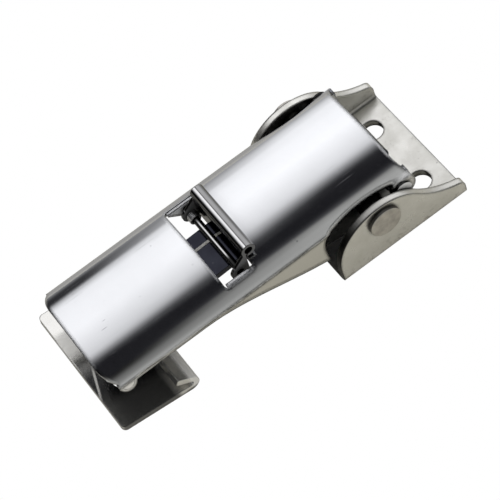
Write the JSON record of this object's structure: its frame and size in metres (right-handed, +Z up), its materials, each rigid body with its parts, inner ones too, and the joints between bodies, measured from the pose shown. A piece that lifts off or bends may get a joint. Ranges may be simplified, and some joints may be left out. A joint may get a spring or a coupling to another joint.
{
  "type": "concealed draw latch",
  "caption": "Over-centre draw latch with a pressed lever cover, hooked claw, folded keeper and a sprung safety catch set in the lever's window.",
  "frame": {"origin": "midway between the two base screw holes, on the mounting face", "axes": "+X from the keeper toward the hinge end, +Y toward the left side, +Z up from the mounting face"},
  "size_m": [0.129, 0.054, 0.0338],
  "materials": {
    "satin_steel": "satin",
    "polished_steel": "mirror polished",
    "dark_polished_steel": "mirror polished"
  },
  "bodies": {
    "base": {"base_bracket": "satin_steel", "pivot_rivet_left": "satin_steel", "pivot_rivet_right": "satin_steel", "pivot_washer_left": "satin_steel", "pivot_washer_right": "satin_steel"},
    "lever": {"lever_cover": "polished_steel", "claw_pin": "satin_steel", "claw_spacer_left": "satin_steel", "claw_spacer_right": "satin_steel", "catch_pin": "satin_steel", "catch_spring": "satin_steel"},
    "claw": {"claw": "dark_polished_steel", "keeper": "dark_polished_steel"},
    "catch": {"safety_catch": "dark_polished_steel"}
  },
  "joints": [
    {"name": "lever_pivot", "type": "hinge", "parent": "base", "child": "lever", "pos_m": [-0.0203, 0, 0.0182], "axis": [0, 1, 0], "range_deg": [0, 80]},
    {"name": "claw_pivot", "type": "hinge", "parent": "lever", "child": "claw", "pos_m": [-0.01, 0, 0.0202], "axis": [0, 1, 0], "range_deg": [-72.5, 0]},
    {"name": "catch_pivot", "type": "hinge", "parent": "lever", "child": "catch", "pos_m": [-0.0645, 0, 0.0242], "axis": [0, -1, 0], "range_deg": [0, 25], "stiffness_Nm_per_rad": 0.01, "springref_deg": -22.92}
  ],
  "couplings": [
    {"joint": "claw_pivot", "follows": "lever_pivot", "ratio": -0.9}
  ]
}
